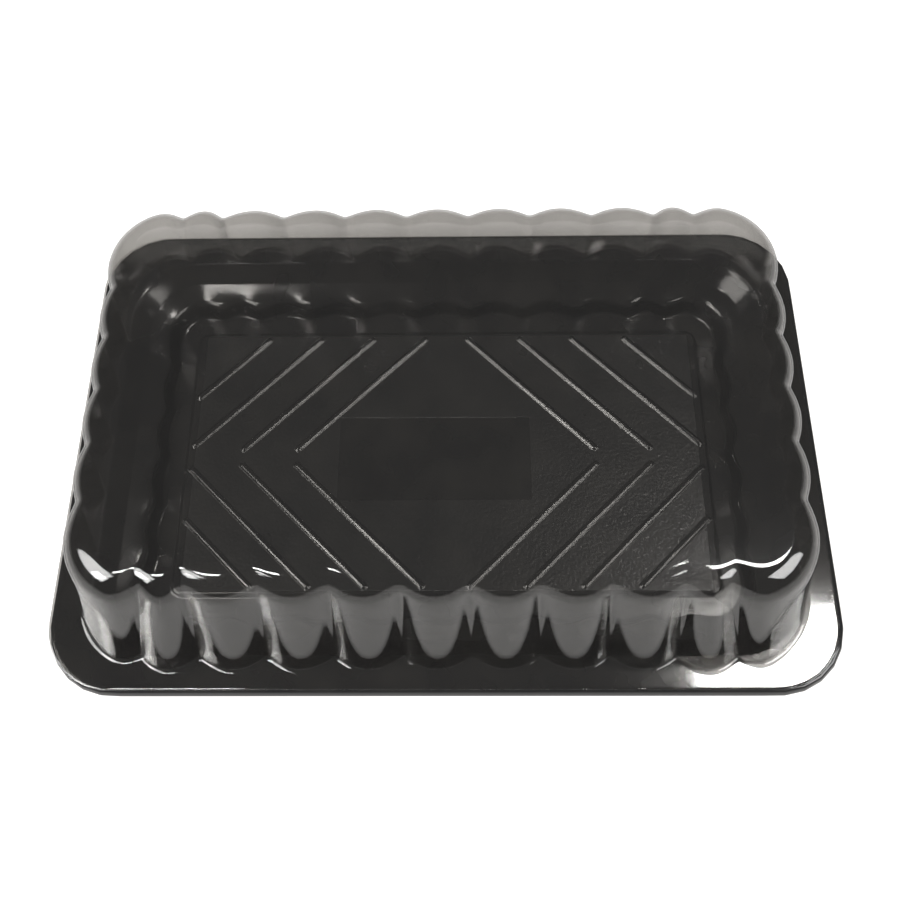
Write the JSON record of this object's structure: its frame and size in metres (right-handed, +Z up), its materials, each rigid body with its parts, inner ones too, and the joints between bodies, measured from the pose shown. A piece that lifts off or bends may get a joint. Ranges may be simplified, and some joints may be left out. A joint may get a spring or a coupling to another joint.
{
  "type": "lidded plastic food tray",
  "caption": "Shallow black plastic food tray with diamond ribs on its floor, shut under a tall clear lid with fluted walls.",
  "frame": {"origin": "on the ground, under the middle of the tray", "axes": "+X along the long side, +Y to the back, +Z up"},
  "size_m": [0.22, 0.15, 0.05],
  "materials": {
    "black_plastic": "glossy thermoformed sheet, with a finely stippled floor panel",
    "clear_plastic": "clear glossy thermoformed sheet"
  },
  "bodies": {
    "root": {"tray": "black_plastic", "lid": "clear_plastic"}
  },
  "joints": []
}
